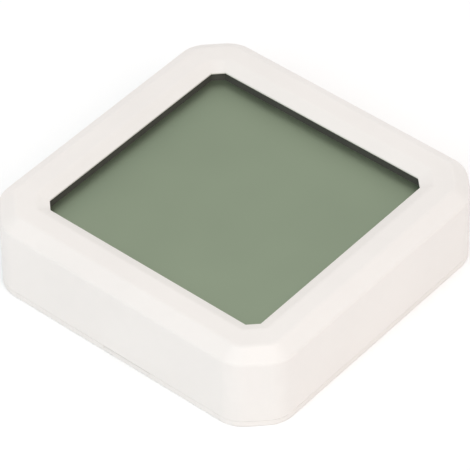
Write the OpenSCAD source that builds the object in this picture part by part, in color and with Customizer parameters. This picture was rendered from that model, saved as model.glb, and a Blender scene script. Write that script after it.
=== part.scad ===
// Square room sensor for temperature and humidity with a blank reflective display.
// Millimetres, +Z out of the display, origin at the middle of the back face.

$fn = 48;

/* [Casing] */
// Casing width along X
body_w = 59.5; // [54:0.5:70]
// Casing length along Y
body_l = 59.5; // [54:0.5:70]
// Casing depth from the back face to the flat ring around the window
body_h = 15.4; // [14:0.1:18]
// Rounding of the upright edges, two at each corner
corner_r = 5.5; // [4.8:0.1:6.2]
// Offset along X and Y between those two roundings, which sets the 45 degree flat between them
corner_step = 2.5; // [1.5:0.1:3.2]
// Wall thickness of the sides
wall = 1.6; // [1.4:0.05:1.7]
// Horizontal run of the outer shoulder
shoulder_run = 2.7; // [2.2:0.1:3.2]
// Height of the outer shoulder
shoulder_drop = 1.7; // [1.3:0.1:2.1]
// Blend between the flat ring and the shoulder
top_blend = 1.5; // [1:0.5:4]
// Blend between the shoulder and the side
side_blend = 0.8; // [0.3:0.1:1.2]

/* [Window] */
// Border between the casing's side and the window along X
window_side = 7.8; // [7.6:0.05:9.5]
// Border between the casing's end and the window along Y
window_end = 7.95; // [7.2:0.05:9.5]
// Leg of the small cut at each window corner
window_cut = 1.65; // [1:0.05:2.4]
// Horizontal run of the bevel that falls to the window
bevel_run = 2.1; // [1.6:0.1:2.6]
// Height of that bevel
bevel_drop = 1.05; // [0.8:0.05:1.2]
// Upright land at the edge of the window
lip_t = 0.25; // [0.2:0.05:0.4]

/* [Display] */
// Thickness of the black gasket between the roof and the display
gasket_t = 1.65; // [1.4:0.05:1.75]
// Width of the gasket ring
gasket_w = 1.1; // [0.8:0.1:1.4]
// Thickness of the front polarizer film
film_t = 0.2; // [0.15:0.05:0.3]
// Thickness of each glass plate
glass_t = 0.7; // [0.5:0.1:1.1]
// Width of the contact ledge on each end of the front glass
ledge_w = 2.2; // [2:0.1:2.4]
// Thickness of the rear reflector film
reflector_t = 0.25; // [0.2:0.05:0.3]
// Height of the conductive strips between board and glass
strip_h = 2.55; // [2.4:0.05:2.7]
// Wall of the display frame
frame_wall = 0.9; // [0.7:0.1:1]

/* [Board] */
// Board thickness
board_t = 1; // [0.8:0.1:1.2]
// Outer diameter of the screw bosses
boss_d = 3.4; // [3:0.1:3.6]
// Thread diameter of the tray screws
screw_d = 1.6; // [1.2:0.1:1.7]
// Distance of the bosses from the casing's ends along Y
boss_end = 15.75; // [13:0.25:18]

/* [Battery] */
// Coin cell diameter
cell_d = 24.5; // [24:0.1:25]
// Room between the coin cell and the cover
cell_room = 0.7; // [0.5:0.05:1.2]
// Middle of the cell along Y
cell_y = 4; // [2:0.5:6]
// Room around the cell in its ring
cell_gap = 0.25; // [0.2:0.05:0.4]
// Wall of the cell ring
ring_wall = 1.2; // [1:0.1:1.5]
// Thickness of the tray deck under the board
deck_t = 1; // [0.8:0.1:1.2]
// Sheet thickness of the contacts
contact_t = 0.2; // [0.15:0.05:0.25]

/* [Back cover] */
// Height of the cover rim, which is where the seam runs
rim_h = 1.2; // [1:0.1:1.3]
// Seam between the cover rim and the casing
seam_gap = 0.15; // [0.1:0.05:0.25]
// Room between the cover skirt and the casing wall
skirt_gap = 0.2; // [0.15:0.05:0.3]
// Thickness of the cover skirt
skirt_t = 1.2; // [1:0.1:1.4]
// Height of the cover skirt above the rim
skirt_h = 3; // [2.4:0.1:3.4]
// Width of the air slit under the seam, where a nail pries the cover off
slot_w = 9.8; // [8:0.2:12]
// Middle of the slit along X
slot_x = 2.4; // [-4:0.2:6]
// Height of the slit
slot_h = 0.3; // [0.15:0.05:0.45]
// Height of the sloped notch in the rim's side that leads a nail to the slit
notch_h = 0.75; // [0.5:0.05:0.8]
// Depth of that notch at the seam
notch_d = 0.35; // [0.2:0.05:0.8]

/* [Button] */
// Diameter of the button head
button_d = 5; // [4.4:0.1:5.6]
// Room around the button head in the cover
button_gap = 0.3; // [0.25:0.05:0.4]
// How far the button sits below the back face
button_recess = 0.4; // [0.3:0.1:0.6]
// Travel that the button is given
button_travel = 0.35; // [0.25:0.05:0.4]
// Distance of the button from the casing's side along X
button_side = 14.75; // [13.5:0.25:15.5]
// Distance of the button from the casing's end along Y
button_end = 12.75; // [11.5:0.25:13.5]

/* [Hidden] */
window_w = body_w - 2 * window_side;
window_l = body_l - 2 * window_end;
lip_z = body_h - bevel_drop;
roof_z = lip_z - lip_t;
film_top = roof_z - gasket_t;
front_glass_top = film_top - film_t;
front_glass_bottom = front_glass_top - glass_t;
rear_glass_bottom = front_glass_bottom - glass_t;
reflector_bottom = rear_glass_bottom - reflector_t;
board_top = front_glass_bottom - strip_h;
board_bottom = board_top - board_t;
deck_bottom = board_bottom - deck_t;
// Negative pole of the cell, a hair under the deck
cell_top = deck_bottom - 0.1;
// The cell is as thick as the casing's depth leaves room for
cell_bottom = rim_h + cell_room;
cell_h = cell_top - cell_bottom;
casing_bottom = rim_h + seam_gap;
// Display plates, all sized from the window
film_w = window_w + 2 * gasket_w - 0.1;
film_l = window_l + 2 * gasket_w - 0.1;
glass_w = film_w + 0.4;
rear_glass_l = film_l - 0.5;
front_glass_l = rear_glass_l + 2 * ledge_w;
plate_gap = 0.15;
frame_w = glass_w + 2 * (plate_gap + frame_wall);
frame_l = front_glass_l + 2 * (plate_gap + frame_wall);
strip_w = 1.8;
strip_l = glass_w - 4.4;
strip_y = (rear_glass_l + ledge_w) / 2;
// Insets from the casing outline
skirt_outer = wall + skirt_gap;
skirt_inner = skirt_outer + skirt_t;
board_inset = wall + 0.3;
rib_r = 0.5;
rib_inset = skirt_outer + rib_r - 0.15;
// Bosses stand in the strip between the display frame and the wall
boss_x = frame_w / 2 + boss_d / 2 + 0.25;
boss_y = body_l / 2 - boss_end;
screw_head_d = 2.8;
screw_head_h = 1;
screw_hole_d = screw_d + 0.4;
screw_bite = 4;
screw_tip = board_top + screw_bite;
// Button, its switch and their heights
button_x = button_side - body_w / 2;
button_y = button_end - body_l / 2;
switch_side = 4.5;
switch_h = 1.5;
plunger_d = 2;
plunger_bottom = board_bottom - switch_h - 0.5;
stem_d = 3;
flange_d = button_d + 1.6;
flange_bottom = rim_h + 0.3;
flange_top = flange_bottom + 0.8;
guide_bottom = flange_top + button_travel + 0.3;
sensor_side = 2.5;
sensor_h = 0.9;
sensor_y = -body_l / 2 + board_inset + 3.6;
contact_w = 5;
leaf_l = 6;
// Walls of the coin cell
can_t = 0.3;
crimp = 0.4;
can_r = cell_d / 2;
can_h = cell_h - crimp;
cap_r = can_r - can_t - 0.5;
// Parts on the board, laid out from the window
chip_h = 0.85;
lead_w = 0.25;
radio_side = 6;
radio_x = -window_w / 4;
radio_y = 0.18 * window_l;
driver_side = 8;
driver_lead = 0.6;
driver_x = window_w / 5;
driver_y = -0.14 * window_l;
crystal_w = 3.2;
crystal_l = 2.5;
crystal_h = 0.65;
passive_w = 1.6;
passive_l = 0.8;
passive_h = 0.45;
passive_pitch = 2.2;
antenna_w = 1.8;
antenna_l = 7;
antenna_h = 0.8;

function unit(v) = v / norm(v);

// Points of the arc of radius r that rounds the corner b between a and c
function rounded(a, b, c, r, n = 4) =
    let (u = unit(a - b), v = unit(c - b), half = acos(u * v) / 2)
    let (centre = b + unit(u + v) * r / sin(half))
    let (p = b + u * r / tan(half) - centre, q = b + v * r / tan(half) - centre)
    let (start = atan2(p[1], p[0]), sweep = atan2(q[1], q[0]) - start)
    let (turn = sweep > 180 ? sweep - 360 : sweep < -180 ? sweep + 360 : sweep)
    [for (i = [0 : n]) centre + r * [cos(start + turn * i / n), sin(start + turn * i / n)]];

// Middles of the eight corner arcs, which stay where they are for every inset
function arc_centres() =
    let (x = body_w / 2 - corner_r, y = body_l / 2 - corner_r)
    let (u = x - corner_step, v = y - corner_step)
    [[u, -y], [x, -v], [x, v], [u, y], [-u, y], [-x, v], [-x, -v], [-u, -y]];

// Casing outline drawn in by an inset: a polygon through the ends of the arcs, and the arcs' circles
module outline(inset) {
    c = arc_centres();
    r = corner_r - inset;
    polygon([for (i = [0 : 7], a = [-90, -45]) c[i] + r * [cos(45 * i + a), sin(45 * i + a)]]);
    for (i = [0 : 7]) translate(c[i]) circle(r);
}

// Slab with the casing outline drawn in by an inset
module slab(inset, low, high) {
    translate([0, 0, low]) linear_extrude(high - low) outline(inset);
}

// Sweeps a profile of distance from the arc middles and height around the casing outline
module swept(profile) {
    c = arc_centres();
    low = min([for (p = profile) p[1]]);
    high = max([for (p = profile) p[1]]);
    // The middle block reaches a little into the sides and corners, and each side is two halves that overlap
    translate([0, 0, low]) linear_extrude(high - low)
        polygon([for (i = [0 : 7]) c[i] + [cos(45 * i - 67.5), sin(45 * i - 67.5)]]);
    for (i = [0 : 7]) translate(c[i]) {
        ahead = norm(c[(i + 1) % 8] - c[i]);
        behind = norm(c[(i + 7) % 8] - c[i]);
        rotate(45 * (i - 2)) {
            rotate_extrude(angle = 45) polygon(profile);
            rotate([90, 0, 0]) linear_extrude(0.6 * behind) polygon(profile);
        }
        rotate(45 * (i - 1)) rotate([90, 0, 0]) mirror([0, 0, 1])
            linear_extrude(0.6 * ahead) polygon(profile);
    }
}

module box(w, l, low, high) {
    translate([-w / 2, -l / 2, low]) cube([w, l, high - low]);
}

// Box with its four upright edges cut at 45 degrees
module cut_box(w, l, cut, low, high) {
    translate([0, 0, low]) linear_extrude(high - low)
        polygon([[w / 2 - cut, -l / 2], [w / 2, -l / 2 + cut], [w / 2, l / 2 - cut], [w / 2 - cut, l / 2],
                 [cut - w / 2, l / 2], [-w / 2, l / 2 - cut], [-w / 2, cut - l / 2], [cut - w / 2, -l / 2]]);
}

// Long trough with the bevel on both sides; four of them crossed leave the window opening
module bevel_trough(half) {
    foot = [half, lip_z];
    edge = [half + bevel_run, body_h];
    far = [half + bevel_run + 3, body_h];
    right = concat([[half, roof_z - 1], foot], rounded(foot, edge, far, 3, 3),
                   [[half + bevel_run + 1, body_h + 1]]);
    left = [for (i = [len(right) - 1 : -1 : 0]) [-right[i][0], right[i][1]]];
    rotate([90, 0, 0]) linear_extrude(body_w + body_l, center = true) polygon(concat(right, left));
}

module window_opening() {
    diagonal = (window_w / 2 + window_l / 2 - window_cut) / sqrt(2);
    intersection() {
        bevel_trough(window_w / 2);
        rotate(90) bevel_trough(window_l / 2);
        rotate(45) bevel_trough(diagonal);
        rotate(-45) bevel_trough(diagonal);
    }
}

module at_bosses() {
    for (x = [-boss_x, boss_x], y = [-boss_y, boss_y]) translate([x, y, 0]) children();
}

module front_shell() color([0.93, 0.92, 0.89]) difference() {
    union() {
        difference() {
            swept(concat([[0, casing_bottom], [corner_r, casing_bottom]],
                         rounded([corner_r, 0], [corner_r, body_h - shoulder_drop],
                                 [corner_r - shoulder_run, body_h], side_blend),
                         rounded([corner_r, body_h - shoulder_drop], [corner_r - shoulder_run, body_h],
                                 [0, body_h], top_blend),
                         [[0, body_h]]));
            swept([[0, 0], [corner_r - wall, 0], [corner_r - wall, roof_z - 1.25],
                   [corner_r - wall - 1.9, roof_z], [0, roof_z]]);
            window_opening();
        }
        at_bosses() translate([0, 0, board_top]) cylinder(d = boss_d, h = roof_z - board_top + 0.3);
        // Webs that tie the bosses to the wall
        for (x = [-1, 1], y = [-boss_y, boss_y])
            translate([x * (boss_x + body_w / 2 - wall + 0.4) / 2, y, 0])
                box(body_w / 2 - wall + 0.4 - boss_x, 1, board_top, roof_z - 1.5);
    }
    at_bosses() translate([0, 0, board_top - 1]) cylinder(d = screw_d, h = screw_tip - board_top + 1);
}

module back_cover() color([0.9, 0.89, 0.86]) difference() {
    union() {
        slab(0, 0, rim_h);
        translate([0, 0, rim_h - 0.3]) linear_extrude(skirt_h + 0.3) difference() {
            outline(skirt_outer);
            outline(skirt_inner);
        }
        // Grip ribs that hold the skirt in the casing
        for (s = [-1, 1], t = [-1, 1], p = [[s * (body_w / 2 - rib_inset), 0.22 * t * body_l],
                                            [0.22 * t * body_w, s * (body_l / 2 - rib_inset)]])
            translate([p[0], p[1], rim_h - 0.3]) cylinder(r = rib_r, h = skirt_h - 0.7);
        // Pads that keep the cell against its contact
        for (s = [-1, 1]) translate([6 * s, cell_y, 0]) box(1.2, 10, rim_h - 0.3, cell_bottom - 0.2);
    }
    translate([slot_x, -body_l / 2, 0]) {
        box(slot_w, 2 * (skirt_inner + 0.4), rim_h - slot_h, rim_h + skirt_h + 1);
        // The notch's slope runs out on the rim's side
        rotate([90, 0, 90]) linear_extrude(slot_w, center = true)
            polygon([[-notch_d, rim_h - 2 * notch_h], [2 * notch_d, rim_h + notch_h],
                     [-notch_d, rim_h + notch_h]]);
    }
    translate([button_x, button_y, -1]) cylinder(d = button_d + 2 * button_gap, h = rim_h + 2);
}

module lcd_gasket() color([0.07, 0.07, 0.07]) difference() {
    cut_box(window_w + 2 * gasket_w + 0.4, window_l + 2 * gasket_w + 0.4, 1, film_top, roof_z);
    cut_box(window_w + 0.4, window_l + 0.4, window_cut, film_top - 1, roof_z + 1);
}

module front_polarizer() color([0.55, 0.59, 0.51]) box(film_w, film_l, front_glass_top, film_top);

module front_glass() color([0.7, 0.76, 0.74])
    box(glass_w, front_glass_l, front_glass_bottom, front_glass_top);

module rear_glass() color([0.66, 0.73, 0.71])
    box(glass_w, rear_glass_l, rear_glass_bottom, front_glass_bottom);

module rear_reflector() color([0.62, 0.65, 0.6])
    box(glass_w - 0.8, rear_glass_l - 0.6, reflector_bottom, rear_glass_bottom);

module lcd_frame() color([0.2, 0.2, 0.21]) difference() {
    cut_box(frame_w, frame_l, 0.8, board_top, front_glass_top - 0.1);
    box(glass_w + 2 * plate_gap, front_glass_l + 2 * plate_gap, front_glass_bottom, front_glass_top + 1);
    box(glass_w + 2 * plate_gap, rear_glass_l + 2 * plate_gap, reflector_bottom, front_glass_bottom + 0.5);
    box(glass_w - 3, rear_glass_l - 3, board_top - 1, reflector_bottom + 0.5);
    for (s = [-1, 1])
        translate([0, s * strip_y, 0])
            box(strip_l + 0.3, strip_w + 0.3, board_top - 1, front_glass_bottom + 0.5);
}

// Elastic strip of conducting layers, pressed between board and glass
module zebra_strip(side) color([0.82, 0.5, 0.45])
    translate([0, side * strip_y, 0]) box(strip_l, strip_w, board_top, front_glass_bottom);

module zebra_strip_near() zebra_strip(-1);

module zebra_strip_far() zebra_strip(1);

module main_board() color([0.1, 0.36, 0.22]) difference() {
    slab(board_inset, board_bottom, board_top);
    at_bosses() translate([0, 0, board_bottom - 1]) cylinder(d = screw_hole_d, h = board_t + 2);
    // Milled slots that keep the board's heat away from the sensor
    for (s = [-1, 1])
        translate([slot_x + 1.3 * s * sensor_side, sensor_y, 0])
            box(0.3 * sensor_side, 2 * sensor_side, board_bottom - 1, board_top + 1);
    translate([slot_x, sensor_y + 1.1 * sensor_side, 0])
        box(1.6 * sensor_side, 0.3 * sensor_side, board_bottom - 1, board_top + 1);
}

// Chip body on the board's upper face with rows of leads on all four sides
module chip(side, lead_count, lead_out) {
    pitch = (side - 1) / (lead_count - 1);
    difference() {
        box(side, side, board_top, board_top + chip_h);
        translate([0.8 - side / 2, side / 2 - 0.8, board_top + chip_h - 0.1]) cylinder(d = 0.7, h = 1);
    }
    for (a = [0 : 90 : 270], i = [0 : lead_count - 1])
        rotate(a) translate([side / 2, i * pitch - (side - 1) / 2, 0])
            box(2 * lead_out, lead_w, board_top, board_top + lead_w);
}

module radio_chip() color([0.12, 0.12, 0.13]) translate([radio_x, radio_y, 0]) chip(radio_side, 8, 0.1);

module display_driver() color([0.13, 0.13, 0.14])
    translate([driver_x, driver_y, 0]) chip(driver_side, 12, driver_lead);

module crystal() color([0.72, 0.72, 0.7])
    translate([radio_x + radio_side / 2 + crystal_w, radio_y, board_top]) {
        box(crystal_w, crystal_l, 0, 0.7 * crystal_h);
        box(0.88 * crystal_w, 0.84 * crystal_l, 0, crystal_h);
    }

module chip_row(count) {
    for (i = [0 : count - 1]) translate([0, i * passive_pitch, board_top]) {
        box(passive_w, passive_l, 0, passive_h);
        for (s = [-1, 1])
            translate([0.41 * s * passive_w, 0, 0])
                box(0.22 * passive_w, 1.08 * passive_l, 0, 1.08 * passive_h);
    }
}

module capacitors() color([0.72, 0.6, 0.46]) {
    translate([radio_x - radio_side / 2 - 1.5 * passive_w, radio_y - 2 * passive_pitch, 0]) chip_row(5);
    translate([driver_x + driver_side / 2 + 2 * passive_w, driver_y - 1.5 * passive_pitch, 0]) chip_row(4);
}

module resistors() color([0.16, 0.16, 0.17]) {
    translate([radio_x, driver_y - 1.5 * passive_pitch, 0]) chip_row(4);
    translate([driver_x - driver_side, driver_y - 5 * passive_pitch, 0]) chip_row(3);
}

// Sensing element under the board, with its air port above the slit
module humidity_sensor() color([0.14, 0.14, 0.15]) translate([slot_x, sensor_y, 0]) difference() {
    box(sensor_side, sensor_side, board_bottom - sensor_h, board_bottom);
    translate([0, 0, board_bottom - sensor_h - 1]) cylinder(d = 0.9, h = 1.4);
}

module chip_antenna() color([0.9, 0.88, 0.82])
    translate([-(frame_w / 2 + body_w / 2 - board_inset) / 2, 0, board_top])
        box(antenna_w, antenna_l, 0, antenna_h);

module switch_body() color([0.2, 0.2, 0.2]) translate([button_x, button_y, 0]) difference() {
    union() {
        box(switch_side, switch_side, board_bottom - switch_h, board_bottom);
        // Solder feet
        for (s = [-1, 1], t = [-1, 1])
            translate([s * (switch_side / 2 + 0.3), t * 0.3 * switch_side, 0])
                box(0.8, 0.7, board_bottom - 0.2, board_bottom);
    }
    translate([0, 0, board_bottom - switch_h - 1]) cylinder(d = plunger_d + 0.4, h = switch_h + 0.7);
}

module switch_plunger() color([0.6, 0.1, 0.1])
    translate([button_x, button_y, plunger_bottom]) cylinder(d = plunger_d, h = 1);

module button_cap() color([0.86, 0.85, 0.82]) translate([button_x, button_y, 0]) rotate_extrude()
    polygon([[0, button_recess], [button_d / 2 - 0.3, button_recess], [button_d / 2, button_recess + 0.3],
             [button_d / 2, flange_bottom], [flange_d / 2, flange_bottom], [flange_d / 2, flange_top],
             [stem_d / 2, flange_top], [stem_d / 2, plunger_bottom], [0, plunger_bottom]]);

module battery_tray() color([0.84, 0.84, 0.82]) difference() {
    ring_r = cell_d / 2 + cell_gap;
    union() {
        slab(board_inset, deck_bottom, board_bottom);
        translate([0, cell_y, cell_bottom + 0.2])
            cylinder(r = ring_r + ring_wall, h = deck_bottom - cell_bottom);
        // Stiffening ribs from the ring to the deck's edge
        for (a = [0 : 45 : 315])
            translate([0, cell_y, 0]) rotate(a)
                translate([ring_r + 2.4, 0, 0]) box(5, 1, deck_bottom - 2, deck_bottom + 0.2);
        translate([button_x, button_y, guide_bottom])
            cylinder(d = stem_d + 2.6, h = deck_bottom - guide_bottom + 0.2);
    }
    translate([0, cell_y, cell_bottom - 1]) cylinder(r = ring_r, h = deck_bottom - cell_bottom + 1);
    // Finger notch to lift the cell out
    translate([-ring_r, cell_y, 0])
        box(cell_d / 4, 0.45 * cell_d, cell_bottom - 1, deck_bottom - 1.6 * deck_t);
    // Window for the negative contact and slot for the positive one
    translate([0, cell_y, 0]) box(2.2 * leaf_l, 1.2 * contact_w, deck_bottom - 1, board_bottom + 1);
    translate([can_r + leaf_l / 6, cell_y, 0])
        box(0.57 * leaf_l, 1.12 * contact_w, cell_bottom - 1, board_bottom + 1);
    at_bosses() translate([0, 0, deck_bottom - 1]) cylinder(d = screw_hole_d, h = deck_t + 2);
    // Room for the switch, its button and the sensor
    translate([button_x, button_y, 0]) {
        box(1.4 * switch_side, 1.13 * switch_side, board_bottom - switch_h - 0.2, board_bottom + 1);
        cylinder(d = stem_d + 0.6, h = board_bottom);
    }
    translate([slot_x, sensor_y, 0])
        box(3 * sensor_side, 2.1 * sensor_side, deck_bottom - 1, board_bottom + 1);
}

// Sprung leaf under the board that bears on the negative pole
module negative_contact() color([0.82, 0.8, 0.74])
    translate([0, cell_y + contact_w / 2, 0]) rotate([90, 0, 0]) linear_extrude(contact_w)
        polygon([[-leaf_l, board_bottom], [-leaf_l, board_bottom - contact_t],
                 [-0.43 * leaf_l, board_bottom - contact_t], [0.17 * leaf_l, cell_top],
                 [0.67 * leaf_l, cell_top], [0.83 * leaf_l, cell_top + 2 * contact_t],
                 [0.82 * leaf_l, cell_top + 3 * contact_t], [0.67 * leaf_l, cell_top + contact_t],
                 [0.19 * leaf_l, cell_top + contact_t], [-0.42 * leaf_l, board_bottom]]);

// Sprung strip beside the cell that bears on the positive can
module positive_contact() color([0.82, 0.8, 0.74])
    translate([cell_d / 2, cell_y + contact_w / 2, 0]) rotate([90, 0, 0]) linear_extrude(contact_w)
        polygon([[0, cell_bottom + can_h / 5], [contact_t, cell_bottom + can_h / 5],
                 [contact_t, board_bottom - contact_t], [0.3 * leaf_l, board_bottom - contact_t],
                 [0.3 * leaf_l, board_bottom], [0, board_bottom]]);

module cell_can() color([0.75, 0.76, 0.77]) translate([0, cell_y, cell_bottom]) rotate_extrude()
    polygon([[0, 0], [can_r - crimp, 0], [can_r, crimp], [can_r, can_h], [can_r - can_t, can_h],
             [can_r - can_t, can_t], [0, can_t]]);

module cell_gasket() color([0.15, 0.16, 0.2]) translate([0, cell_y, cell_bottom]) rotate_extrude()
    polygon([[can_r - can_t, can_t], [can_r - can_t, can_h], [cap_r, can_h + can_t / 3], [cap_r, can_t]]);

// Negative cap of the cell with the filling under it
module cell_cap() color([0.72, 0.73, 0.74]) translate([0, cell_y, cell_bottom]) rotate_extrude()
    polygon([[0, can_t], [cap_r, can_t], [cap_r, cell_h - 1.25 * crimp], [cap_r - 1.25 * crimp, cell_h],
             [0, cell_h]]);

module tray_screw(x, y) color([0.6, 0.6, 0.62]) translate([x, y, 0]) difference() {
    union() {
        translate([0, 0, deck_bottom - screw_head_h]) cylinder(d = screw_head_d, h = screw_head_h);
        translate([0, 0, deck_bottom - 0.2]) cylinder(d = screw_d, h = screw_tip - deck_bottom - 0.3);
    }
    // Cross recess
    for (a = [0, 90]) rotate(a)
        box(0.6 * screw_head_d, 0.14 * screw_head_d,
            deck_bottom - 1.5 * screw_head_h, deck_bottom - 0.4 * screw_head_h);
}

module tray_screw_1() tray_screw(-boss_x, -boss_y);

module tray_screw_2() tray_screw(boss_x, -boss_y);

module tray_screw_3() tray_screw(boss_x, boss_y);

module tray_screw_4() tray_screw(-boss_x, boss_y);

front_shell();
back_cover();
lcd_gasket();
front_polarizer();
front_glass();
rear_glass();
rear_reflector();
lcd_frame();
zebra_strip_near();
zebra_strip_far();
main_board();
radio_chip();
display_driver();
crystal();
capacitors();
resistors();
humidity_sensor();
chip_antenna();
switch_body();
switch_plunger();
button_cap();
battery_tray();
negative_contact();
positive_contact();
cell_can();
cell_gasket();
cell_cap();
tray_screw_1();
tray_screw_2();
tray_screw_3();
tray_screw_4();
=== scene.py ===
"""Looks of a square room sensor with a blank display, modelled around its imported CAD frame."""

import math

import bmesh
import bpy
from bpy.props import FloatProperty, FloatVectorProperty, PointerProperty
from mathutils import Matrix, Vector


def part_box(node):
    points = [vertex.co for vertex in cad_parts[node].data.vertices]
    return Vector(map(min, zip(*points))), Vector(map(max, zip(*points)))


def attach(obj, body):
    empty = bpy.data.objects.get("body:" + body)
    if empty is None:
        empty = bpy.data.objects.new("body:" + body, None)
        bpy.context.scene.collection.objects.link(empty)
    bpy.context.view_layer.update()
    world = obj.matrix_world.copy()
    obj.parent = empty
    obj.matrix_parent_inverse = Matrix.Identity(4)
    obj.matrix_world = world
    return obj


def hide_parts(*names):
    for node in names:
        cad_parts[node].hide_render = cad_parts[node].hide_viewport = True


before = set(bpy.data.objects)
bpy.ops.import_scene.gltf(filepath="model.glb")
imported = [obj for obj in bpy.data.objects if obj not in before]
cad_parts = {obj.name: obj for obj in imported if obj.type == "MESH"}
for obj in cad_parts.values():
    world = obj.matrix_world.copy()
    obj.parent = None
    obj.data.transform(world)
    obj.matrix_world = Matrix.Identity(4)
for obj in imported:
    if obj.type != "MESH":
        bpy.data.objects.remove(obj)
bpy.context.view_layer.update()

bl_info = {
    "name": "Room sensor looks",
    "version": (1, 0, 0),
    "blender": (4, 5, 0),
    "location": "View3D > Sidebar > Room sensor",
    "description": "Models and finishes a room sensor for temperature and humidity around its CAD frame",
    "category": "Object",
}

SHELL_LOW, SHELL_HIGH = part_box("front_shell")
COVER_LOW, COVER_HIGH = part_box("back_cover")
CELL_LOW, CELL_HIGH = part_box("cell_can")
CAP_LOW, CAP_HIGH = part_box("button_cap")
SCREW_LOW, SCREW_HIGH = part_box("tray_screw_3")
BOARD_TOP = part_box("main_board")[1].z
MM = 0.001
TINY = 1e-5
RIGHT_ANGLE = math.pi / 2
SMOOTH_DEGREES = 30


def length(label, description, millimetres):
    """A size in metres whose default is given in millimetres."""
    return FloatProperty(name=label, description=description, default=millimetres * MM, min=0.0,
                         precision=5, subtype="DISTANCE", unit="LENGTH")


def shade(label, description, colour):
    """A colour of one of the finishes."""
    return FloatVectorProperty(name=label, description=description, default=colour, size=3,
                               min=0.0, max=1.0, subtype="COLOR")


class RoomSensorSizes(bpy.types.PropertyGroup):
    """Sizes of casing and cover, as in the part's source but for the finer seam, blends and roundings."""

    corner_round: length("Corner rounding", "Radius of the two upright edges at each corner", 5.5)
    corner_step: length("Corner step", "Offset between those two roundings along X and Y", 2.5)
    wall: length("Wall", "Thickness of the casing's sides", 1.6)
    shoulder_run: length("Shoulder run", "Horizontal run of the outer shoulder", 2.7)
    shoulder_drop: length("Shoulder drop", "Height of the outer shoulder", 1.7)
    top_blend: length("Top blend", "Rounding between the flat ring and the shoulder", 1.5)
    side_blend: length("Side blend", "Rounding between the shoulder and the side", 0.8)
    window_width: length("Window width", "Window opening along X", 43.9)
    window_length: length("Window length", "Window opening along Y", 43.6)
    window_cut: length("Window cut", "Leg of the cut at each window corner", 1.65)
    bevel_run: length("Bevel run", "Horizontal run of the bevel around the window", 2.1)
    bevel_drop: length("Bevel drop", "Height of the bevel around the window", 1.05)
    bevel_blend: length("Bevel blend", "Rounding between the flat ring and the bevel", 1.5)
    lip: length("Lip", "Upright land at the window's edge", 0.25)
    roof_run: length("Roof run", "Horizontal run of the slope inside the shoulder", 1.9)
    roof_drop: length("Roof drop", "Height of the slope inside the shoulder", 1.25)
    rim: length("Cover rim", "Height of the back cover's rim", 1.2)
    skirt_inset: length("Skirt inset", "Distance of the cover's skirt from the casing's side", 1.8)
    skirt_wall: length("Skirt wall", "Thickness of the cover's skirt", 1.2)
    slot_width: length("Slot width", "Width of the air slit and its notch", 9.8)
    slot_middle: length("Slot middle", "Middle of the air slit along X", 2.4)
    slot_height: length("Slit height", "Height of the air slit under the seam", 0.3)
    notch_height: length("Notch height", "Height of the nail notch in the rim's side", 0.75)
    notch_depth: length("Notch depth", "Depth of the nail notch at the seam", 0.35)
    button_radius: length("Button radius", "Radius of the button's face", 2.5)
    button_gap: length("Button gap", "Room around the button in the cover", 0.3)
    seam_round: length("Seam rounding", "Rounding of the edges along the seam", 0.03)
    seam: length("Seam", "Open height of the seam between casing and cover", 0.045)
    foot_round: length("Foot rounding", "Rounding of the cover's lower edge", 0.3)


class RoomSensorColours(bpy.types.PropertyGroup):
    """Colours of the finishes."""

    casing: shade("Casing", "Off-white casing plastic", (0.82, 0.785, 0.755))
    cover: shade("Cover", "Back cover plastic", (0.81, 0.775, 0.745))
    tray: shade("Tray", "Battery tray plastic", (0.62, 0.62, 0.6))
    display: shade("Display", "Grey-green of the blank display", (0.355, 0.424, 0.304))
    # Near-black wall under the display's lip: dark foam whose colour is also painted shade of the lip's
    # overhang
    gasket: shade("Gasket", "Black foam around the display", (0.056, 0.053, 0.048))
    glass: shade("Glass", "Display glass", (0.36, 0.43, 0.4))
    reflector: shade("Reflector", "Silvered film behind the glass", (0.55, 0.57, 0.5))
    bezel: shade("Bezel", "Dark frame of the display", (0.04, 0.04, 0.043))
    board: shade("Board", "Solder mask of the board", (0.02, 0.13, 0.06))
    epoxy: shade("Epoxy", "Moulded chip bodies", (0.025, 0.025, 0.028))
    ceramic: shade("Ceramic", "Ceramic of the capacitors", (0.42, 0.28, 0.16))
    antenna: shade("Antenna", "Pale ceramic of the antenna", (0.72, 0.68, 0.58))
    steel: shade("Steel", "Nickel-plated steel of the cell", (0.62, 0.62, 0.6))
    seal: shade("Seal", "Seal between the cell's can and cap", (0.03, 0.032, 0.045))
    contact: shade("Contact", "Plated spring contacts", (0.72, 0.66, 0.52))
    screw: shade("Screw", "Zinc-plated screws", (0.55, 0.55, 0.56))
    plunger: shade("Plunger", "Plunger of the switch", (0.3, 0.03, 0.025))
    rubber: shade("Rubber", "Insulating layers of the connector strips", (0.55, 0.23, 0.2))
    carbon: shade("Carbon", "Conducting layers of the connector strips", (0.05, 0.045, 0.045))
    floor: shade("Floor", "Pale floor", (0.98, 0.98, 0.98))


def sizes():
    return bpy.context.scene.room_sensor_sizes


def colours():
    return bpy.context.scene.room_sensor_colours


def middle(low, high):
    """The middle of a box in X and Y."""
    return (low.x + high.x) / 2, (low.y + high.y) / 2


def pick(kind, test):
    """Selects the edges or faces for which test is true, in the mesh that is in edit mode."""
    bpy.ops.mesh.select_mode(type=kind)
    bpy.ops.mesh.select_all(action="DESELECT")
    mesh = bpy.context.edit_object.data
    form = bmesh.from_edit_mesh(mesh)
    found = [item for item in (form.edges if kind == "EDGE" else form.faces) if test(item)]
    if not found:
        raise RuntimeError("nothing to select on " + mesh.name)
    for item in found:
        item.select_set(True)
    bmesh.update_edit_mesh(mesh)


def is_upright(edge):
    """An edge along Z, longer than any rounding's steps."""
    a, b = (v.co for v in edge.verts)
    return abs(a.z - b.z) > 0.1 * MM and (a - b).xy.length < TINY


def level(item, height):
    """An edge or face that lies at that height."""
    return all(abs(v.co.z - height) < TINY for v in item.verts)


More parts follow.
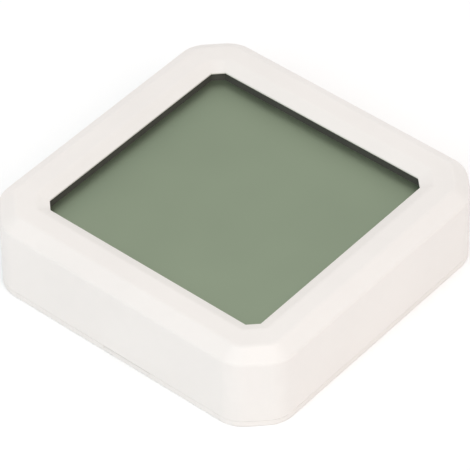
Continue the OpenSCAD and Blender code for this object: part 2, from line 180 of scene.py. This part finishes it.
def corner_edge(edge, height):
    """An edge at that height between a face that lies flat and one that doesn't."""
    flat = [abs(f.normal.z) > 0.99 for f in edge.link_faces]
    return level(edge, height) and len(flat) == 2 and flat[0] != flat[1]


def open_edge(edge, height):
    """An edge at that height with a face on one side only."""
    return edge.is_boundary and level(edge, height)


def round_edges(radius, turn, segments):
    """Rounds the selected edges to a radius, where the surface turns by that angle."""
    half = turn / 2
    bulge = (1 / math.cos(half) - 1) / (2 * math.tan(half) * math.sin(half))
    bpy.ops.mesh.bevel(offset=radius * math.tan(half), offset_type="OFFSET", segments=segments,
                       profile=(1 - bulge) ** 2, affect="EDGES", clamp_overlap=False)


def start_from(add, name, **shape):
    """Adds a primitive with nothing else selected, and opens it in edit mode."""
    bpy.ops.object.select_all(action="DESELECT")
    add(**shape)
    piece = bpy.context.object
    piece.name = piece.data.name = name
    bpy.ops.object.transform_apply(location=True, rotation=True, scale=True)
    bpy.ops.object.mode_set(mode="EDIT")
    return piece


def block(name, low, high):
    """A box between two corners, open in edit mode."""
    low, high = Vector(low), Vector(high)
    return start_from(bpy.ops.mesh.primitive_cube_add, name, size=1, location=(low + high) / 2,
                      scale=high - low)


def drum(name, x, y, low, high, radius, sides):
    """A cylinder between two heights, open in edit mode."""
    return start_from(bpy.ops.mesh.primitive_cylinder_add, name, vertices=sides, radius=radius,
                      depth=high - low, location=(x, y, (low + high) / 2))


def casing_block(name, low, high):
    """A block with the casing's outline: corners cut at 45 degrees, both edges of each cut rounded."""
    s = sizes()
    turn = math.radians(45)
    piece = block(name, (SHELL_LOW.x, SHELL_LOW.y, low), (SHELL_HIGH.x, SHELL_HIGH.y, high))
    pick("EDGE", is_upright)
    cut = s.corner_step + s.corner_round * (1 - math.tan(turn / 2))
    bpy.ops.mesh.bevel(offset=cut, offset_type="OFFSET", segments=1, affect="EDGES", clamp_overlap=False)
    pick("EDGE", is_upright)
    round_edges(s.corner_round, turn, 12)
    return piece


def move_up(distance):
    """Extrudes the selected faces along Z."""
    bpy.ops.mesh.extrude_region_move(TRANSFORM_OT_translate={"value": (0, 0, distance)})


def close(piece, smooth=SMOOTH_DEGREES):
    """Merges doubles, turns the faces outwards and leaves edit mode with smooth shading."""
    bpy.ops.mesh.select_all(action="SELECT")
    bpy.ops.mesh.remove_doubles(threshold=1e-7)
    bpy.ops.mesh.normals_make_consistent(inside=False)
    bpy.ops.object.mode_set(mode="OBJECT")
    bpy.ops.object.select_all(action="DESELECT")
    piece.select_set(True)
    bpy.context.view_layer.objects.active = piece
    bpy.ops.object.shade_smooth_by_angle(angle=math.radians(smooth))
    return piece


def apply_modifier(piece, kind, **settings):
    """Adds a modifier with its settings and applies it."""
    bpy.context.view_layer.objects.active = piece
    modifier = piece.modifiers.new(kind.title(), kind)
    for name, value in settings.items():
        setattr(modifier, name, value)
    bpy.ops.object.modifier_apply(modifier=modifier.name)


def carve(piece, cutter):
    """Takes the cutter's shape out of a piece, removes the cutter and selects the piece."""
    apply_modifier(piece, "BOOLEAN", operation="DIFFERENCE", solver="EXACT", object=cutter)
    bpy.data.objects.remove(cutter)
    piece.select_set(True)


def flatten_shading(piece):
    """Keeps large faces flat beside small roundings."""
    apply_modifier(piece, "WEIGHTED_NORMAL", weight=60, keep_sharp=True)


def join(piece, others):
    """Joins other pieces into one."""
    bpy.ops.object.select_all(action="DESELECT")
    for other in others:
        other.select_set(True)
    piece.select_set(True)
    bpy.context.view_layer.objects.active = piece
    bpy.ops.object.join()
    return piece


def copy_of(piece, name, move=(0, 0, 0), turn=0.0):
    """A copy with its own mesh, turned about the part's middle and moved, with its place in its mesh."""
    bpy.ops.object.select_all(action="DESELECT")
    piece.select_set(True)
    bpy.context.view_layer.objects.active = piece
    bpy.ops.object.duplicate(linked=False)
    made = bpy.context.object
    made.name = made.data.name = name
    if turn:
        bpy.ops.object.mode_set(mode="EDIT")
        bpy.ops.mesh.select_all(action="SELECT")
        bpy.ops.transform.rotate(value=turn, orient_axis="Z", center_override=(0, 0, 0))
        bpy.ops.object.mode_set(mode="OBJECT")
    made.location = move
    bpy.ops.object.transform_apply(location=True, rotation=True, scale=True)
    return made


def settle(piece, body, slot, finish, *nodes):
    """Gives a piece its finish, the CAD body it rides on and the nodes that it stands for."""
    piece.data.materials.clear()
    piece.data.materials.append(finish)
    if nodes:
        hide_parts(*nodes)
    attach(piece, body)


def dress(finish, *nodes):
    """Gives CAD nodes a finish."""
    for name in nodes:
        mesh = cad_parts[name].data
        mesh.materials.clear()
        mesh.materials.append(finish)


class Finish:
    """A material's node tree on object coordinates, with short names for the nodes it needs."""

    def __init__(self, name, **constants):
        self.material = bpy.data.materials.new(name)
        self.material.use_nodes = True
        self.tree = self.material.node_tree
        self.shader = self.tree.nodes["Principled BSDF"]
        for key, value in constants.items():
            socket = key.replace("_", " ").title().replace("Ior", "IOR")
            self.shader.inputs[socket].default_value = value
        self.place = self.tree.nodes.new("ShaderNodeTexCoord").outputs["Object"]

    def node(self, kind, **inputs):
        """A new node with its inputs linked or set; i0, i1 and i2 are inputs by number."""
        made = self.tree.nodes.new("ShaderNode" + kind)
        for socket, value in inputs.items():
            numbered = socket[0] == "i" and socket[1:].isdigit()
            target = made.inputs[int(socket[1:]) if numbered else socket]
            if isinstance(value, bpy.types.NodeSocket):
                self.tree.links.new(value, target)
            else:
                target.default_value = value
        return made

    def stretch(self, scale):
        """Object coordinates scaled along X, Y and Z."""
        return self.node("Mapping", Vector=self.place, Scale=scale).outputs["Vector"]

    def noise(self, size, detail=3.0, rough=0.5, place=None):
        """Noise whose features are about that many millimetres across."""
        made = self.node("TexNoise", Vector=place or self.place, Scale=1 / (size * MM), Detail=detail,
                         Roughness=rough)
        return made.outputs["Fac"]

    def ramp(self, value, stops):
        """Colours along a value, from pairs of place and colour."""
        made = self.node("ValToRGB", Fac=value)
        band = made.color_ramp
        while len(band.elements) < len(stops):
            band.elements.new(0.5)
        for element, (position, colour) in zip(band.elements, stops):
            element.position = position
            element.color = (*colour, 1)
        return made.outputs["Color"]

    def span(self, value, low, high, start=0.3, end=0.7):
        """A value between start and end, laid out between low and high."""
        made = self.node("MapRange", Value=value)
        sockets = ("From Min", "From Max", "To Min", "To Max")
        for socket, number in zip(sockets, (start, end, low, high)):
            made.inputs[socket].default_value = number
        return made.outputs["Result"]

    def sum(self, a, b, share):
        """a plus share times b."""
        made = self.node("Math", i0=b, i1=share, i2=a)
        made.operation = "MULTIPLY_ADD"
        return made.outputs[0]

    def to(self, socket, value):
        """Links a value to an input of the shader."""
        self.tree.links.new(value, self.shader.inputs[socket])

    def bump(self, height, depth):
        """Bump whose full height is that many millimetres."""
        made = self.node("Bump", Height=height, Distance=depth * MM, Strength=1.0)
        self.to("Normal", made.outputs["Normal"])


def tone(colour, factor):
    """A colour made darker or lighter."""
    return tuple(min(1.0, c * factor) for c in colour)


def moulded(name, colour, patch=18.0, grain=0.22, depth=0.006, gloss=(0.4, 0.5), spread=0.02):
    """Moulded plastic, ceramic or foam: broad drift of colour, fine grain and uneven sheen."""
    f = Finish(name)
    drift = f.sum(f.noise(patch, 4.0), f.noise(patch / 9, 3.0), 0.25)
    dark, light = tone(colour, 1 - spread), tone(colour, 1 + spread)
    f.to("Base Color", f.ramp(drift, [(0.38, dark), (0.82, light)]))
    f.to("Roughness", f.span(f.noise(patch / 4, 5.0, 0.6), *gloss))
    f.bump(f.sum(f.noise(grain, 2.0), f.noise(grain * 5, 2.0), 0.4), depth)
    return f.material


def metal(name, colour, along=(1, 30, 30), gloss=(0.22, 0.38), scratch=1.2):
    """Plated metal with fine drawn lines, small stains and uneven gloss."""
    f = Finish(name, metallic=1.0)
    lines = f.noise(scratch, 6.0, 0.65, f.stretch(along))
    stains = f.noise(5.0, 5.0, 0.6)
    dark, light = tone(colour, 0.94), tone(colour, 1.06)
    f.to("Base Color", f.ramp(f.sum(stains, lines, 0.3), [(0.45, dark), (0.8, light)]))
    f.to("Roughness", f.span(f.sum(lines, stains, 0.5), *gloss, 0.45, 1.0))
    f.bump(lines, 0.002)
    return f.material


def display_film(name, colour):
    """Front of a blank reflective display: a satin grey-green mirror with a faint grain."""
    f = Finish(name, metallic=0.95, specular_ior_level=0.5)
    drift = f.sum(f.noise(26.0, 2.0), f.noise(0.35, 2.0), 0.06)
    f.to("Base Color", f.ramp(drift, [(0.35, tone(colour, 0.97)), (0.72, tone(colour, 1.03))]))
    f.to("Roughness", f.span(f.noise(7.0, 4.0), 0.43, 0.47))
    f.bump(f.noise(3.5, 1.0), 0.002)
    return f.material


def clear_plate(name, colour):
    """Polished display glass, seen only at its edges, with faint haze."""
    f = Finish(name, coat_weight=0.6, coat_roughness=0.04)
    hazy, clear = tone(colour, 0.92), tone(colour, 1.06)
    f.to("Base Color", f.ramp(f.noise(9.0, 3.0), [(0.3, hazy), (0.7, clear)]))
    f.to("Roughness", f.span(f.noise(2.0, 4.0), 0.08, 0.2))
    return f.material


def striped_rubber(name, colour, dark):
    """Elastic connector: thin conducting layers between insulating ones along its length."""
    f = Finish(name, specular_ior_level=0.35)
    # Layers that repeat every 0.23 mm
    bands = f.node("TexWave", Vector=f.place, Scale=0.5 / (0.36 * MM), Distortion=0.4)
    bands.bands_direction = "X"
    f.to("Base Color", f.ramp(bands.outputs["Fac"], [(0.42, colour), (0.58, dark)]))
    f.to("Roughness", f.span(f.noise(0.6, 3.0), 0.5, 0.68))
    f.bump(bands.outputs["Fac"], 0.01)
    return f.material


def solder_mask(name, colour):
    """Board lacquer over copper tracks: raised paler lines, glossy, with a woven glass grain below."""
    f = Finish(name, coat_weight=0.5, coat_roughness=0.12)
    cells = f.node("TexVoronoi", Vector=f.place, Scale=1 / (2.6 * MM), Randomness=0.35)
    cells.feature, cells.distance = "F1", "CHEBYCHEV"
    tracks = f.span(cells.outputs["Distance"], 0.0, 1.0, 0.3, 0.36)
    weave = f.node("TexWave", Vector=f.place, Scale=260.0, Distortion=1.5)
    stops = [(0.1, tone(colour, 0.8)), (0.7, tone(colour, 1.5)), (1.0, tone(colour, 2.0))]
    f.to("Base Color", f.ramp(f.sum(tracks, f.noise(6.0, 4.0), 0.25), stops))
    f.to("Roughness", f.span(f.noise(1.5, 4.0), 0.3, 0.45))
    f.bump(f.sum(tracks, weave.outputs["Fac"], 0.15), 0.03)
    return f.material


class RoomSensorCasing(bpy.types.Operator):
    """Models the casing front: rounded sides, shoulder, flat ring, window bevel and the inside"""

    bl_idname = "room_sensor.casing"
    bl_label = "Casing front"

    def execute(self, context):
        s = sizes()
        low, top = s.rim + s.seam, SHELL_HIGH.z
        side_top, lip_z = top - s.shoulder_drop, top - s.bevel_drop
        roof = lip_z - s.lip
        slope = math.atan2(s.shoulder_drop, s.shoulder_run)
        piece = casing_block("casing_front", low, side_top)
        # Shoulder and its blends
        pick("FACE", lambda f: f.normal.z > 0.9)
        bpy.ops.mesh.inset(thickness=s.shoulder_run, depth=s.shoulder_drop)
        pick("EDGE", lambda e: level(e, top))
        round_edges(s.top_blend, slope, 8)
        pick("EDGE", lambda e: level(e, side_top))
        round_edges(s.side_blend, RIGHT_ANGLE - slope, 6)
        # The flat ring, levelled and opened for the window
        pick("FACE", lambda f: f.normal.z > 0.9999)
        bpy.ops.transform.resize(value=(1, 1, 0), center_override=(0, 0, top))
        margin = 0.2 * MM
        bpy.ops.mesh.inset(thickness=margin)
        bpy.ops.mesh.delete(type="ONLY_FACE")
        self.window(s, top, lip_z)
        # Inside: rim along the seam, walls, sloped roof
        pick("FACE", lambda f: f.normal.z < -0.9)
        bpy.ops.mesh.inset(thickness=s.wall)
        move_up(roof - s.roof_drop - low)
        bpy.ops.mesh.inset(thickness=s.roof_run, depth=-s.roof_drop)
        bpy.ops.mesh.delete(type="ONLY_FACE")
        for height in (top, roof):
            pick("EDGE", lambda e: open_edge(e, height))
            bpy.ops.mesh.fill(use_beauty=True)
        pick("EDGE", lambda e: corner_edge(e, low))
        round_edges(s.seam_round, RIGHT_ANGLE, 3)
        close(piece)
        flatten_shading(piece)
        join(piece, self.bosses(s, roof))
        settle(piece, "casing", "casing", moulded("casing_plastic", colours().casing), "front_shell")
        return {"FINISHED"}

    def window(self, s, top, lip_z):
        """Adds the window's apron, bevel, lip and land inside the flat ring."""
        apron, lip_round = 1.1 * MM, 0.07 * MM
        reach = apron + s.bevel_run
        bpy.ops.mesh.select_mode(type="VERT")
        bpy.ops.mesh.primitive_plane_add(size=1, location=(0, 0, top))
        wide, long = s.window_width + 2 * reach, s.window_length + 2 * reach
        bpy.ops.transform.resize(value=(wide, long, 1), center_override=(0, 0, top))
        cut = s.window_cut + reach * (2 - math.sqrt(2))
        bpy.ops.mesh.bevel(offset=cut, segments=1, affect="VERTICES", clamp_overlap=False)
        pick("FACE", lambda f: len(f.verts) == 8 and level(f, top))
        bpy.ops.mesh.inset(thickness=apron)
        bpy.ops.mesh.inset(thickness=s.bevel_run, depth=-s.bevel_drop)
        move_up(-s.lip)
        bpy.ops.mesh.delete(type="ONLY_FACE")
        slope = math.atan2(s.bevel_drop, s.bevel_run)
        edge_x, edge_y = s.window_width / 2 + s.bevel_run, s.window_length / 2 + s.bevel_run
        pick("EDGE", lambda e: corner_edge(e, top)
             and all(abs(v.co.x) < edge_x + TINY and abs(v.co.y) < edge_y + TINY for v in e.verts))
        round_edges(s.bevel_blend, slope, 6)
        pick("EDGE", lambda e: level(e, lip_z))
        round_edges(lip_round, RIGHT_ANGLE - slope, 3)

    def bosses(self, s, roof):
        """The four screw posts under the roof with their webs to the wall."""
        x, y = middle(SCREW_LOW, SCREW_HIGH)
        radius, post_wall, bore, edge_round = 1.7 * MM, 0.9 * MM, 4 * MM, 0.1 * MM
        web_start, half_web, web_gap = 1.4 * MM, 0.5 * MM, 1.5 * MM
        into_roof, into_wall = 0.2 * MM, 0.4 * MM
        post = drum("boss", x, y, BOARD_TOP, roof + into_roof, radius, 40)
        pick("FACE", lambda f: f.normal.z < -0.9)
        bpy.ops.mesh.inset(thickness=post_wall)
        move_up(bore)
        pick("EDGE", lambda e: corner_edge(e, BOARD_TOP))
        round_edges(edge_round, RIGHT_ANGLE, 2)
        close(post)
        web = block("web", (x + web_start, y - half_web, BOARD_TOP),
                    (SHELL_HIGH.x - s.wall + into_wall, y + half_web, roof - web_gap))
        pick("EDGE", is_upright)
        round_edges(edge_round, RIGHT_ANGLE, 2)
        close(web)
        join(post, [web])
        return [post, copy_of(post, "boss", move=(0, -2 * y, 0)), copy_of(post, "boss", turn=math.pi),
                copy_of(post, "boss", move=(0, 2 * y, 0), turn=math.pi)]


class RoomSensorCover(bpy.types.Operator):
    """Models the back cover: plate, skirt, grip ribs, cell pads, air slit, nail notch and button hole"""

    bl_idname = "room_sensor.cover"
    bl_label = "Back cover"

    def execute(self, context):
        s = sizes()
        top = COVER_HIGH.z
        piece = casing_block("back_plate", COVER_LOW.z, s.rim)
        pick("FACE", lambda f: f.normal.z > 0.9)
        bpy.ops.mesh.inset(thickness=s.skirt_inset)
        move_up(top - s.rim)
        bpy.ops.mesh.inset(thickness=s.skirt_wall)
        move_up(s.rim - top)
        skirt_round = 0.25 * MM
        pick("EDGE", lambda e: corner_edge(e, top))
        round_edges(skirt_round, RIGHT_ANGLE, 3)
        pick("EDGE", lambda e: corner_edge(e, COVER_LOW.z))
        round_edges(s.foot_round, RIGHT_ANGLE, 5)
        pick("EDGE", lambda e: corner_edge(e, s.rim) and self.on_side(e))
        round_edges(s.seam_round, RIGHT_ANGLE, 3)
        close(piece)
        carve(piece, self.slit_cutter(s, top))
        carve(piece, self.notch_cutter(s))
        carve(piece, self.button_cutter(s))
        self.merge_ends(s)
        bpy.ops.object.shade_smooth_by_angle(angle=math.radians(SMOOTH_DEGREES))
        flatten_shading(piece)
        join(piece, [*self.ribs(s), *self.pads(s)])
        plastic = moulded("cover_plastic", colours().cover, patch=15.0, grain=0.3, depth=0.01,
                          gloss=(0.46, 0.56))
        settle(piece, "cover", "casing", plastic, "back_cover")
        return {"FINISHED"}

    def on_side(self, edge):
        """An edge on the cover's outer side."""
        far_out = 20 * MM
        return any(abs(f.normal.z) < 0.1 and f.normal.dot(f.calc_center_median()) > far_out
                   for f in edge.link_faces)

    def slit_cutter(self, s, top):
        """Air slit under the seam, through the rim and the skirt on the near side."""
        low, half = s.rim - s.slot_height, s.slot_width / 2
        past, past_skirt, end_round = 1 * MM, 0.4 * MM, 0.1 * MM
        inside = SHELL_LOW.y + s.skirt_inset + s.skirt_wall + past_skirt
        cutter = block("slit_cutter", (s.slot_middle - half, SHELL_LOW.y - past, low),
                       (s.slot_middle + half, inside, top + past))
        pick("EDGE", lambda e: level(e, low) and abs(e.verts[0].co.x - e.verts[1].co.x) < TINY)
        round_edges(end_round, RIGHT_ANGLE, 3)
        return close(cutter)

    def notch_cutter(self, s):
        """Nail notch in the rim's side, deepest at the seam and running out below it."""
        low, half, side = s.rim - s.notch_height, s.slot_width / 2, SHELL_LOW.y
        past = 1 * MM
        cutter = block("notch_cutter", (s.slot_middle - half, side - past, low - s.notch_height),
                       (s.slot_middle + half, side + 2 * s.notch_depth, s.rim + s.notch_height))
        pick("EDGE", lambda e: level(e, low - s.notch_height) and all(v.co.y > side for v in e.verts))
        bpy.ops.transform.translate(value=(0, -3 * s.notch_depth, 0))
        return close(cutter)

    def merge_ends(self, s):
        """Merges the end walls that the slit and the notch share."""
        bpy.ops.object.mode_set(mode="EDIT")
        ends = [s.slot_middle + side * s.slot_width / 2 for side in (-1, 1)]
        pick("FACE", lambda f: any(all(abs(v.co.x - end) < TINY for v in f.verts) for end in ends))
        bpy.ops.mesh.dissolve_limited(angle_limit=math.radians(0.1))
        bpy.ops.object.mode_set(mode="OBJECT")

    def button_cutter(self, s):
        """Hole for the button, with a flare that breaks its outer edge and runs on below the cover."""
        x, y = middle(CAP_LOW, CAP_HIGH)
        radius = s.button_radius + s.button_gap
        flare_height, past = 0.35 * MM, 1 * MM
        cutter = drum("button_cutter", x, y, COVER_LOW.z + flare_height, s.rim + past, radius, 64)
        pick("FACE", lambda f: f.normal.z < -0.9)
        flare = flare_height + past
        move_up(-flare)
        grown = (radius + flare) / radius
        bpy.ops.transform.resize(value=(grown, grown, 1), center_override=(x, y, COVER_LOW.z))
        return close(cutter)

    def ribs(self, s):
        """Eight grip ribs round the skirt."""
        radius, sunk, into_plate, tall, end_round = (v * MM for v in (0.5, 0.35, 0.3, 2, 0.3))
        low, top = s.rim - into_plate, s.rim + tall
        rib = drum("rib", SHELL_HIGH.x - s.skirt_inset - sunk, 0, low, top, radius, 24)
        pick("EDGE", lambda e: corner_edge(e, top))
        round_edges(end_round, RIGHT_ANGLE, 3)
        close(rib)
        spread = 0.22 * (SHELL_HIGH.x - SHELL_LOW.x)
        made = []
        for quarter in range(4):
            turn = quarter * RIGHT_ANGLE
            along = Vector((0, spread, 0))
            along.rotate(Matrix.Rotation(turn, 3, "Z"))
            for side in (-1, 1):
                made.append(copy_of(rib, "rib", move=side * along, turn=turn))
        bpy.data.objects.remove(rib)
        return made

    def pads(self, s):
        """Two rails that keep the cell against its contact."""
        _, y = middle(CELL_LOW, CELL_HIGH)
        inner, outer, half, into_plate, edge_round = (v * MM for v in (5.4, 6.6, 5, 0.3, 0.2))
        cell_gap = 0.2 * MM
        top = CELL_LOW.z - cell_gap
        pad = block("pad", (inner, y - half, s.rim - into_plate), (outer, y + half, top))
        pick("EDGE", lambda e: corner_edge(e, top))
        round_edges(edge_round, RIGHT_ANGLE, 3)
        close(pad)
        return [pad, copy_of(pad, "pad", move=(-inner - outer, 0, 0))]


class RoomSensorDisplay(bpy.types.Operator):
    """Finishes the display stack: film, glass, reflector, gasket, frame and connector strips"""

    bl_idname = "room_sensor.display"
    bl_label = "Display"

    def execute(self, context):
        c = colours()
        dress(display_film("display_film", c.display), "front_polarizer")
        # The gasket's near-black colour is partly foam and partly painted shade under the window's lip
        dress(moulded("foam_painted_shade", c.gasket, patch=6.0, grain=0.3, depth=0.03, gloss=(0.6, 0.75),
                      spread=0.15), "lcd_gasket")
        dress(clear_plate("display_glass", c.glass), "front_glass", "rear_glass")
        dress(metal("reflector_film", c.reflector, gloss=(0.35, 0.5)), "rear_reflector")
        dress(moulded("display_frame", c.bezel, patch=9.0, spread=0.1), "lcd_frame")
        dress(striped_rubber("striped_rubber", c.rubber, c.carbon),
              "zebra_strip_near", "zebra_strip_far")
        return {"FINISHED"}


class RoomSensorBoard(bpy.types.Operator):
    """Finishes the board and the parts soldered to it"""

    bl_idname = "room_sensor.board"
    bl_label = "Board"

    def execute(self, context):
        c = colours()
        dress(solder_mask("solder_mask", c.board), "main_board")
        dress(moulded("chip_epoxy", c.epoxy, patch=3.0, grain=0.12, gloss=(0.5, 0.65), spread=0.12),
              "radio_chip", "display_driver", "humidity_sensor", "resistors", "switch_body")
        dress(moulded("capacitor_ceramic", c.ceramic, patch=1.5, grain=0.1, spread=0.1), "capacitors")
        dress(moulded("antenna_ceramic", c.antenna, patch=2.0, grain=0.15, spread=0.05), "chip_antenna")
        dress(metal("crystal_can", c.steel, along=(20, 1, 20), scratch=0.5), "crystal")
        return {"FINISHED"}


class RoomSensorBattery(bpy.types.Operator):
    """Models the coin cell's can and finishes the battery tray, contacts and screws"""

    bl_idname = "room_sensor.battery"
    bl_label = "Battery"

    def execute(self, context):
        c = colours()
        steel = metal("cell_steel", c.steel, along=(1, 26, 26), gloss=(0.2, 0.34))
        settle(self.can(), "casing", "cell_metal", steel, "cell_can")
        dress(steel, "cell_cap")
        dress(moulded("tray_plastic", c.tray, patch=12.0, grain=0.25, spread=0.04), "battery_tray")
        dress(moulded("cell_seal", c.seal, patch=4.0, spread=0.1), "cell_gasket")
        dress(metal("contact_plating", c.contact, along=(30, 1, 30), gloss=(0.18, 0.32)),
              "negative_contact", "positive_contact")
        dress(metal("screw_zinc", c.screw, scratch=0.4, gloss=(0.28, 0.45)),
              *(f"tray_screw_{i}" for i in range(1, 5)))
        return {"FINISHED"}

    def can(self):
        """Positive can: drawn cup with a rounded edge, a pressed ring on its face and an open inside."""
        x, y = middle(CELL_LOW, CELL_HIGH)
        radius, low, high = (CELL_HIGH.x - CELL_LOW.x) / 2, CELL_LOW.z, CELL_HIGH.z
        edge_round, sheet = 0.55 * MM, 0.3 * MM
        ring_inset, ring_slope, ring_width, ring_depth = (v * MM for v in (1.1, 0.25, 0.5, 0.06))
        piece = drum("cell_cup", x, y, low, high, radius, 128)
        pick("EDGE", lambda e: corner_edge(e, low))
        round_edges(edge_round, RIGHT_ANGLE, 6)
        pick("FACE", lambda f: f.normal.z < -0.999)
        bpy.ops.mesh.inset(thickness=ring_inset)
        bpy.ops.mesh.inset(thickness=ring_slope, depth=-ring_depth)
        bpy.ops.mesh.inset(thickness=ring_width)
        bpy.ops.mesh.inset(thickness=ring_slope, depth=ring_depth)
        pick("FACE", lambda f: f.normal.z > 0.999)
        bpy.ops.mesh.inset(thickness=sheet)
        move_up(low + sheet - high)
        close(piece, smooth=40)
        flatten_shading(piece)
        return piece


class RoomSensorButton(bpy.types.Operator):
    """Models the button in the cover and finishes the switch under it"""

    bl_idname = "room_sensor.button"
    bl_label = "Button"

    def execute(self, context):
        s, c = sizes(), colours()
        x, y = middle(CAP_LOW, CAP_HIGH)
        low, radius = CAP_LOW.z, s.button_radius
        edge_round, stem, flange = 0.3 * MM, 1.5 * MM, radius + 0.8 * MM
        flange_low, flange_high = s.rim + 0.3 * MM, s.rim + 1.1 * MM
        piece = drum("button", x, y, low, flange_low, radius, 64)
        # Dished face, as widths and depths of its steps in millimetres
        pick("EDGE", lambda e: corner_edge(e, low))
        round_edges(edge_round, RIGHT_ANGLE, 5)
        pick("FACE", lambda f: f.normal.z < -0.999)
        for step, depth in ((0.35, 0.0), (0.5, -0.07), (0.5, -0.04), (0.5, -0.015)):
            bpy.ops.mesh.inset(thickness=step * MM, depth=depth * MM)
        # Flange and stem
        pick("FACE", lambda f: f.normal.z > 0.999)
        bpy.ops.mesh.extrude_region_move()
        wide = flange / radius
        bpy.ops.transform.resize(value=(wide, wide, 1), center_override=(x, y, flange_low))
        move_up(flange_high - flange_low)
        bpy.ops.mesh.inset(thickness=flange - stem)
        move_up(CAP_HIGH.z - flange_high)
        close(piece)
        flatten_shading(piece)
        plastic = moulded("button_plastic", c.cover, patch=4.0, grain=0.2, gloss=(0.36, 0.46))
        settle(piece, "button", "button", plastic, "button_cap")
        dress(moulded("plunger_plastic", c.plunger, patch=2.0, grain=0.15, spread=0.06),
              "switch_plunger")
        return {"FINISHED"}


def direction(azimuth, elevation):
    """Unit vector at an azimuth, counted from -Y towards +X, and an elevation."""
    return Vector((math.sin(azimuth) * math.cos(elevation), -math.cos(azimuth) * math.cos(elevation),
                   math.sin(elevation)))


class RoomSensorStage(bpy.types.Operator):
    """Sets the pale floor, the soft studio light and the camera"""

    bl_idname = "room_sensor.stage"
    bl_label = "Stage"

    def execute(self, context):
        self.floor()
        self.lights(context.scene)
        self.camera(context.scene)
        return {"FINISHED"}

    def floor(self):
        """A wide floor of matte pale paper."""
        piece = start_from(bpy.ops.mesh.primitive_grid_add, "floor", x_subdivisions=8, y_subdivisions=8,
                           size=6)
        close(piece)
        f = Finish("floor_paper", specular_ior_level=0.2)
        colour = colours().floor
        dark, light = tone(colour, 0.995), tone(colour, 1.005)
        f.to("Base Color", f.ramp(f.noise(120.0, 3.0), [(0.3, dark), (0.7, light)]))
        f.to("Roughness", f.span(f.noise(40.0, 3.0), 0.75, 0.85))
        piece.data.materials.append(f.material)

    def lights(self, scene):
        """An even surround with two key lamps on the camera's side and two low ones behind the part."""
        scene.world = bpy.data.worlds.new("studio")
        scene.world.use_nodes = True
        surround = scene.world.node_tree.nodes["Background"]
        surround.inputs["Color"].default_value = (1.0, 1.0, 1.0, 1)
        surround.inputs["Strength"].default_value = 0.63
        scene.view_settings.view_transform = "Standard"
        # Name, azimuth and elevation in degrees, distance and width in metres, watts, colour
        for name, azimuth, elevation, away, wide, power, colour in (
            ("key_left", 10.0, 52.0, 1.1, 0.8, 4.05, (0.806, 0.941, 1.0)),
            ("key_right", 75.0, 52.0, 1.1, 0.8, 3.88, (1.0, 0.849, 0.777)),
            ("rear_left", 245.0, 14.0, 1.1, 0.5, 1.15, (1.0, 0.826, 0.757)),
            ("rear_right", 197.0, 14.0, 1.1, 0.5, 1.02, (0.882, 0.969, 1.0)),
        ):
            lamp = bpy.data.lights.new(name, "AREA")
            lamp.size, lamp.energy, lamp.color = wide, power, colour
            holder = bpy.data.objects.new(name, lamp)
            scene.collection.objects.link(holder)
            back = direction(math.radians(azimuth), math.radians(elevation))
            holder.location = away * back
            holder.rotation_euler = back.to_track_quat("Z", "Y").to_euler()

    def camera(self, scene):
        """Camera at the photograph's angle, in widths of the casing from the middle of its back face."""
        azimuth, elevation, roll = (math.radians(a) for a in (39.909, 43.569, -0.140))
        away, aside, above = 9.9936, -0.0006, 0.0637
        width = SHELL_HIGH.x - SHELL_LOW.x
        back = direction(azimuth, elevation)
        right = Vector((math.cos(azimuth), math.sin(azimuth), 0))
        up = back.cross(right)
        place = width * (away * back + aside * right + above * up)
        turned_right = math.cos(roll) * right + math.sin(roll) * up
        turned_up = math.cos(roll) * up - math.sin(roll) * right
        lens = bpy.data.cameras.new("camera")
        lens.sensor_width, lens.lens = 36.0, 278.54
        lens.clip_start, lens.clip_end = 0.01, 20.0
        holder = bpy.data.objects.new("camera", lens)
        scene.collection.objects.link(holder)
        axes = Matrix((turned_right, turned_up, back)).transposed().to_4x4()
        holder.matrix_world = Matrix.Translation(place) @ axes
        scene.camera = holder


class RoomSensorPanel(bpy.types.Panel):
    """Lists the steps, sizes and colours of the room sensor"""

    bl_idname = "VIEW3D_PT_room_sensor"
    bl_label = "Room sensor"
    bl_space_type = "VIEW_3D"
    bl_region_type = "UI"
    bl_category = "Room sensor"

    def draw(self, context):
        for step in STEPS:
            self.layout.operator(step.bl_idname)
        for group in (sizes(), colours()):
            column = self.layout.column(align=True)
            for name in group.__annotations__:
                column.prop(group, name)


STEPS = (RoomSensorStage, RoomSensorCasing, RoomSensorCover, RoomSensorDisplay, RoomSensorBoard,
         RoomSensorBattery, RoomSensorButton)
CLASSES = (RoomSensorSizes, RoomSensorColours, *STEPS, RoomSensorPanel)


def register():
    for cls in CLASSES:
        bpy.utils.register_class(cls)
    bpy.types.Scene.room_sensor_sizes = PointerProperty(type=RoomSensorSizes)
    bpy.types.Scene.room_sensor_colours = PointerProperty(type=RoomSensorColours)


def unregister():
    del bpy.types.Scene.room_sensor_colours
    del bpy.types.Scene.room_sensor_sizes
    for cls in reversed(CLASSES):
        bpy.utils.unregister_class(cls)


def main():
    register()
    bpy.ops.room_sensor.stage()
    bpy.ops.room_sensor.casing()
    bpy.ops.room_sensor.cover()
    bpy.ops.room_sensor.display()
    bpy.ops.room_sensor.board()
    bpy.ops.room_sensor.battery()
    bpy.ops.room_sensor.button()


if __name__ == "__main__":
    main()
